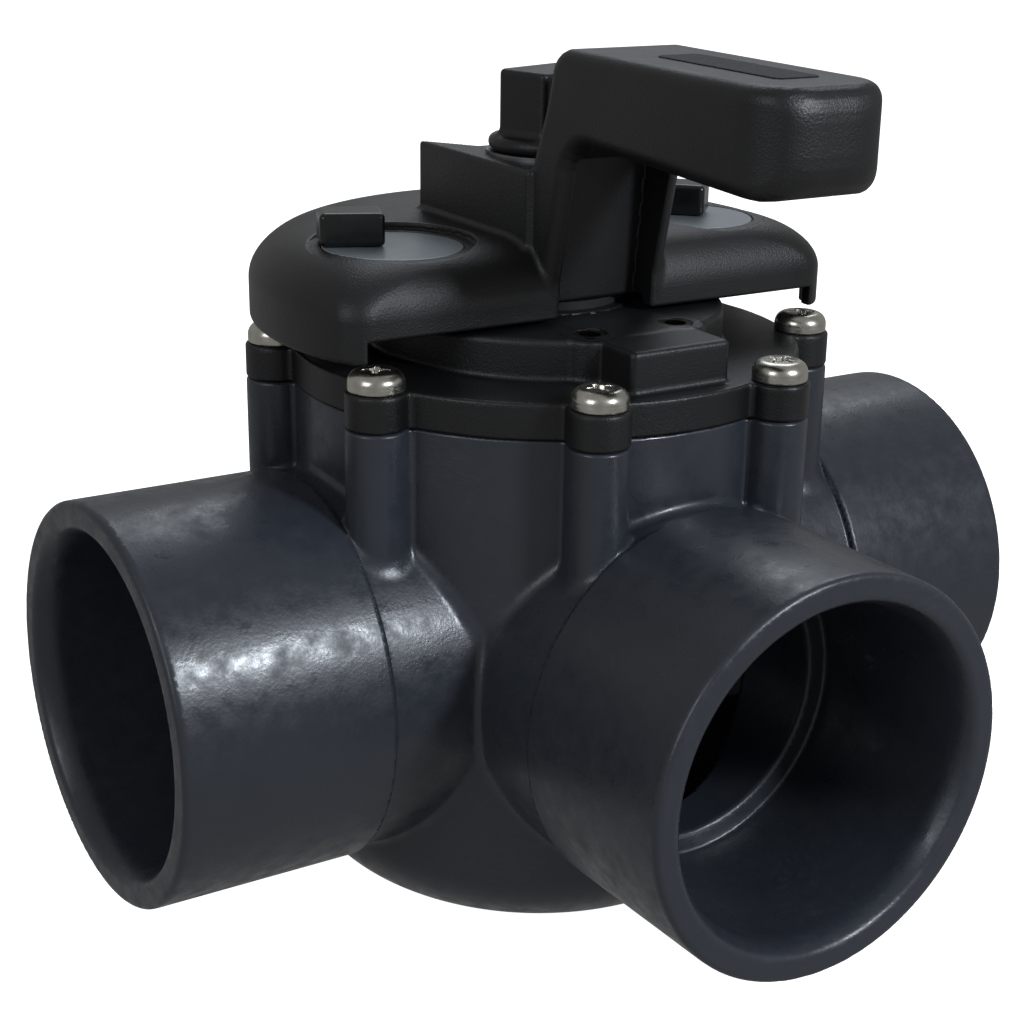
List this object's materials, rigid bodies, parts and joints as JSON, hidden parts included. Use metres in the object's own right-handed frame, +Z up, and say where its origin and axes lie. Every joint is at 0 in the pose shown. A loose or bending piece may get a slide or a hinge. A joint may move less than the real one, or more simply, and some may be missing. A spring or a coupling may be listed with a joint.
{
  "type": "three way diverter valve",
  "caption": "Plastic three way diverter valve: tee body with slip sockets, screwed cover and a domed lever that turns the diverter, held by a lock knob.",
  "frame": {"origin": "centre of the flat base pad under the bowl, on the stem axis", "axes": "+Z up along the stem, -Y out of the branch port, run ports along -X and +X"},
  "size_m": [0.1832, 0.145, 0.1637],
  "materials": {
    "grey_pvc": "satin moulded plastic",
    "black_plastic": "fine textured moulded plastic",
    "rubber": "matt moulded rubber",
    "brass": "turned",
    "stainless": "bright",
    "acetal": "machined",
    "label": "bright printed plate"
  },
  "bodies": {
    "body": {"valve_body": "grey_pvc", "screw_inserts": "brass", "lower_bush": "acetal", "cover": "black_plastic", "cover_screws": "stainless", "cover_o_ring": "rubber", "stem_bush": "acetal", "thrust_washer": "stainless", "dust_seal": "rubber", "actuator_inserts": "brass"},
    "rotor": {"diverter": "black_plastic", "diverter_seal": "rubber", "stem_o_rings": "rubber", "lock_stud": "stainless", "handle": "black_plastic", "handle_washer": "stainless", "grip_badge": "black_plastic", "indicator_plate_left": "label", "indicator_plate_right": "label"},
    "tab_left": {"stop_tab_left": "black_plastic"},
    "tab_right": {"stop_tab_right": "black_plastic"},
    "knob_core": {"knob_insert": "brass"},
    "knob": {"lock_knob": "black_plastic"}
  },
  "joints": [
    {"name": "lever_turn", "type": "hinge", "parent": "body", "child": "rotor", "pos_m": [0, 0, 0.052], "axis": [0, 0, 1], "range_deg": [-90, 90]},
    {"name": "tab_left_lift", "type": "slide", "parent": "rotor", "child": "tab_left", "axis": [0, 0, 1], "range_m": [0, 0.006]},
    {"name": "tab_right_lift", "type": "slide", "parent": "rotor", "child": "tab_right", "axis": [0, 0, 1], "range_m": [0, 0.006]},
    {"name": "knob_lift", "type": "slide", "parent": "rotor", "child": "knob_core", "axis": [0, 0, 1], "range_m": [0, 0.0025]},
    {"name": "knob_turn", "type": "hinge", "parent": "knob_core", "child": "knob", "pos_m": [0, 0, 0.145], "axis": [0, 0, 1], "range_deg": [0, 720]}
  ],
  "couplings": [
    {"joint": "knob_lift", "follows": "knob_turn", "m_per_rad": 0.00019894}
  ]
}
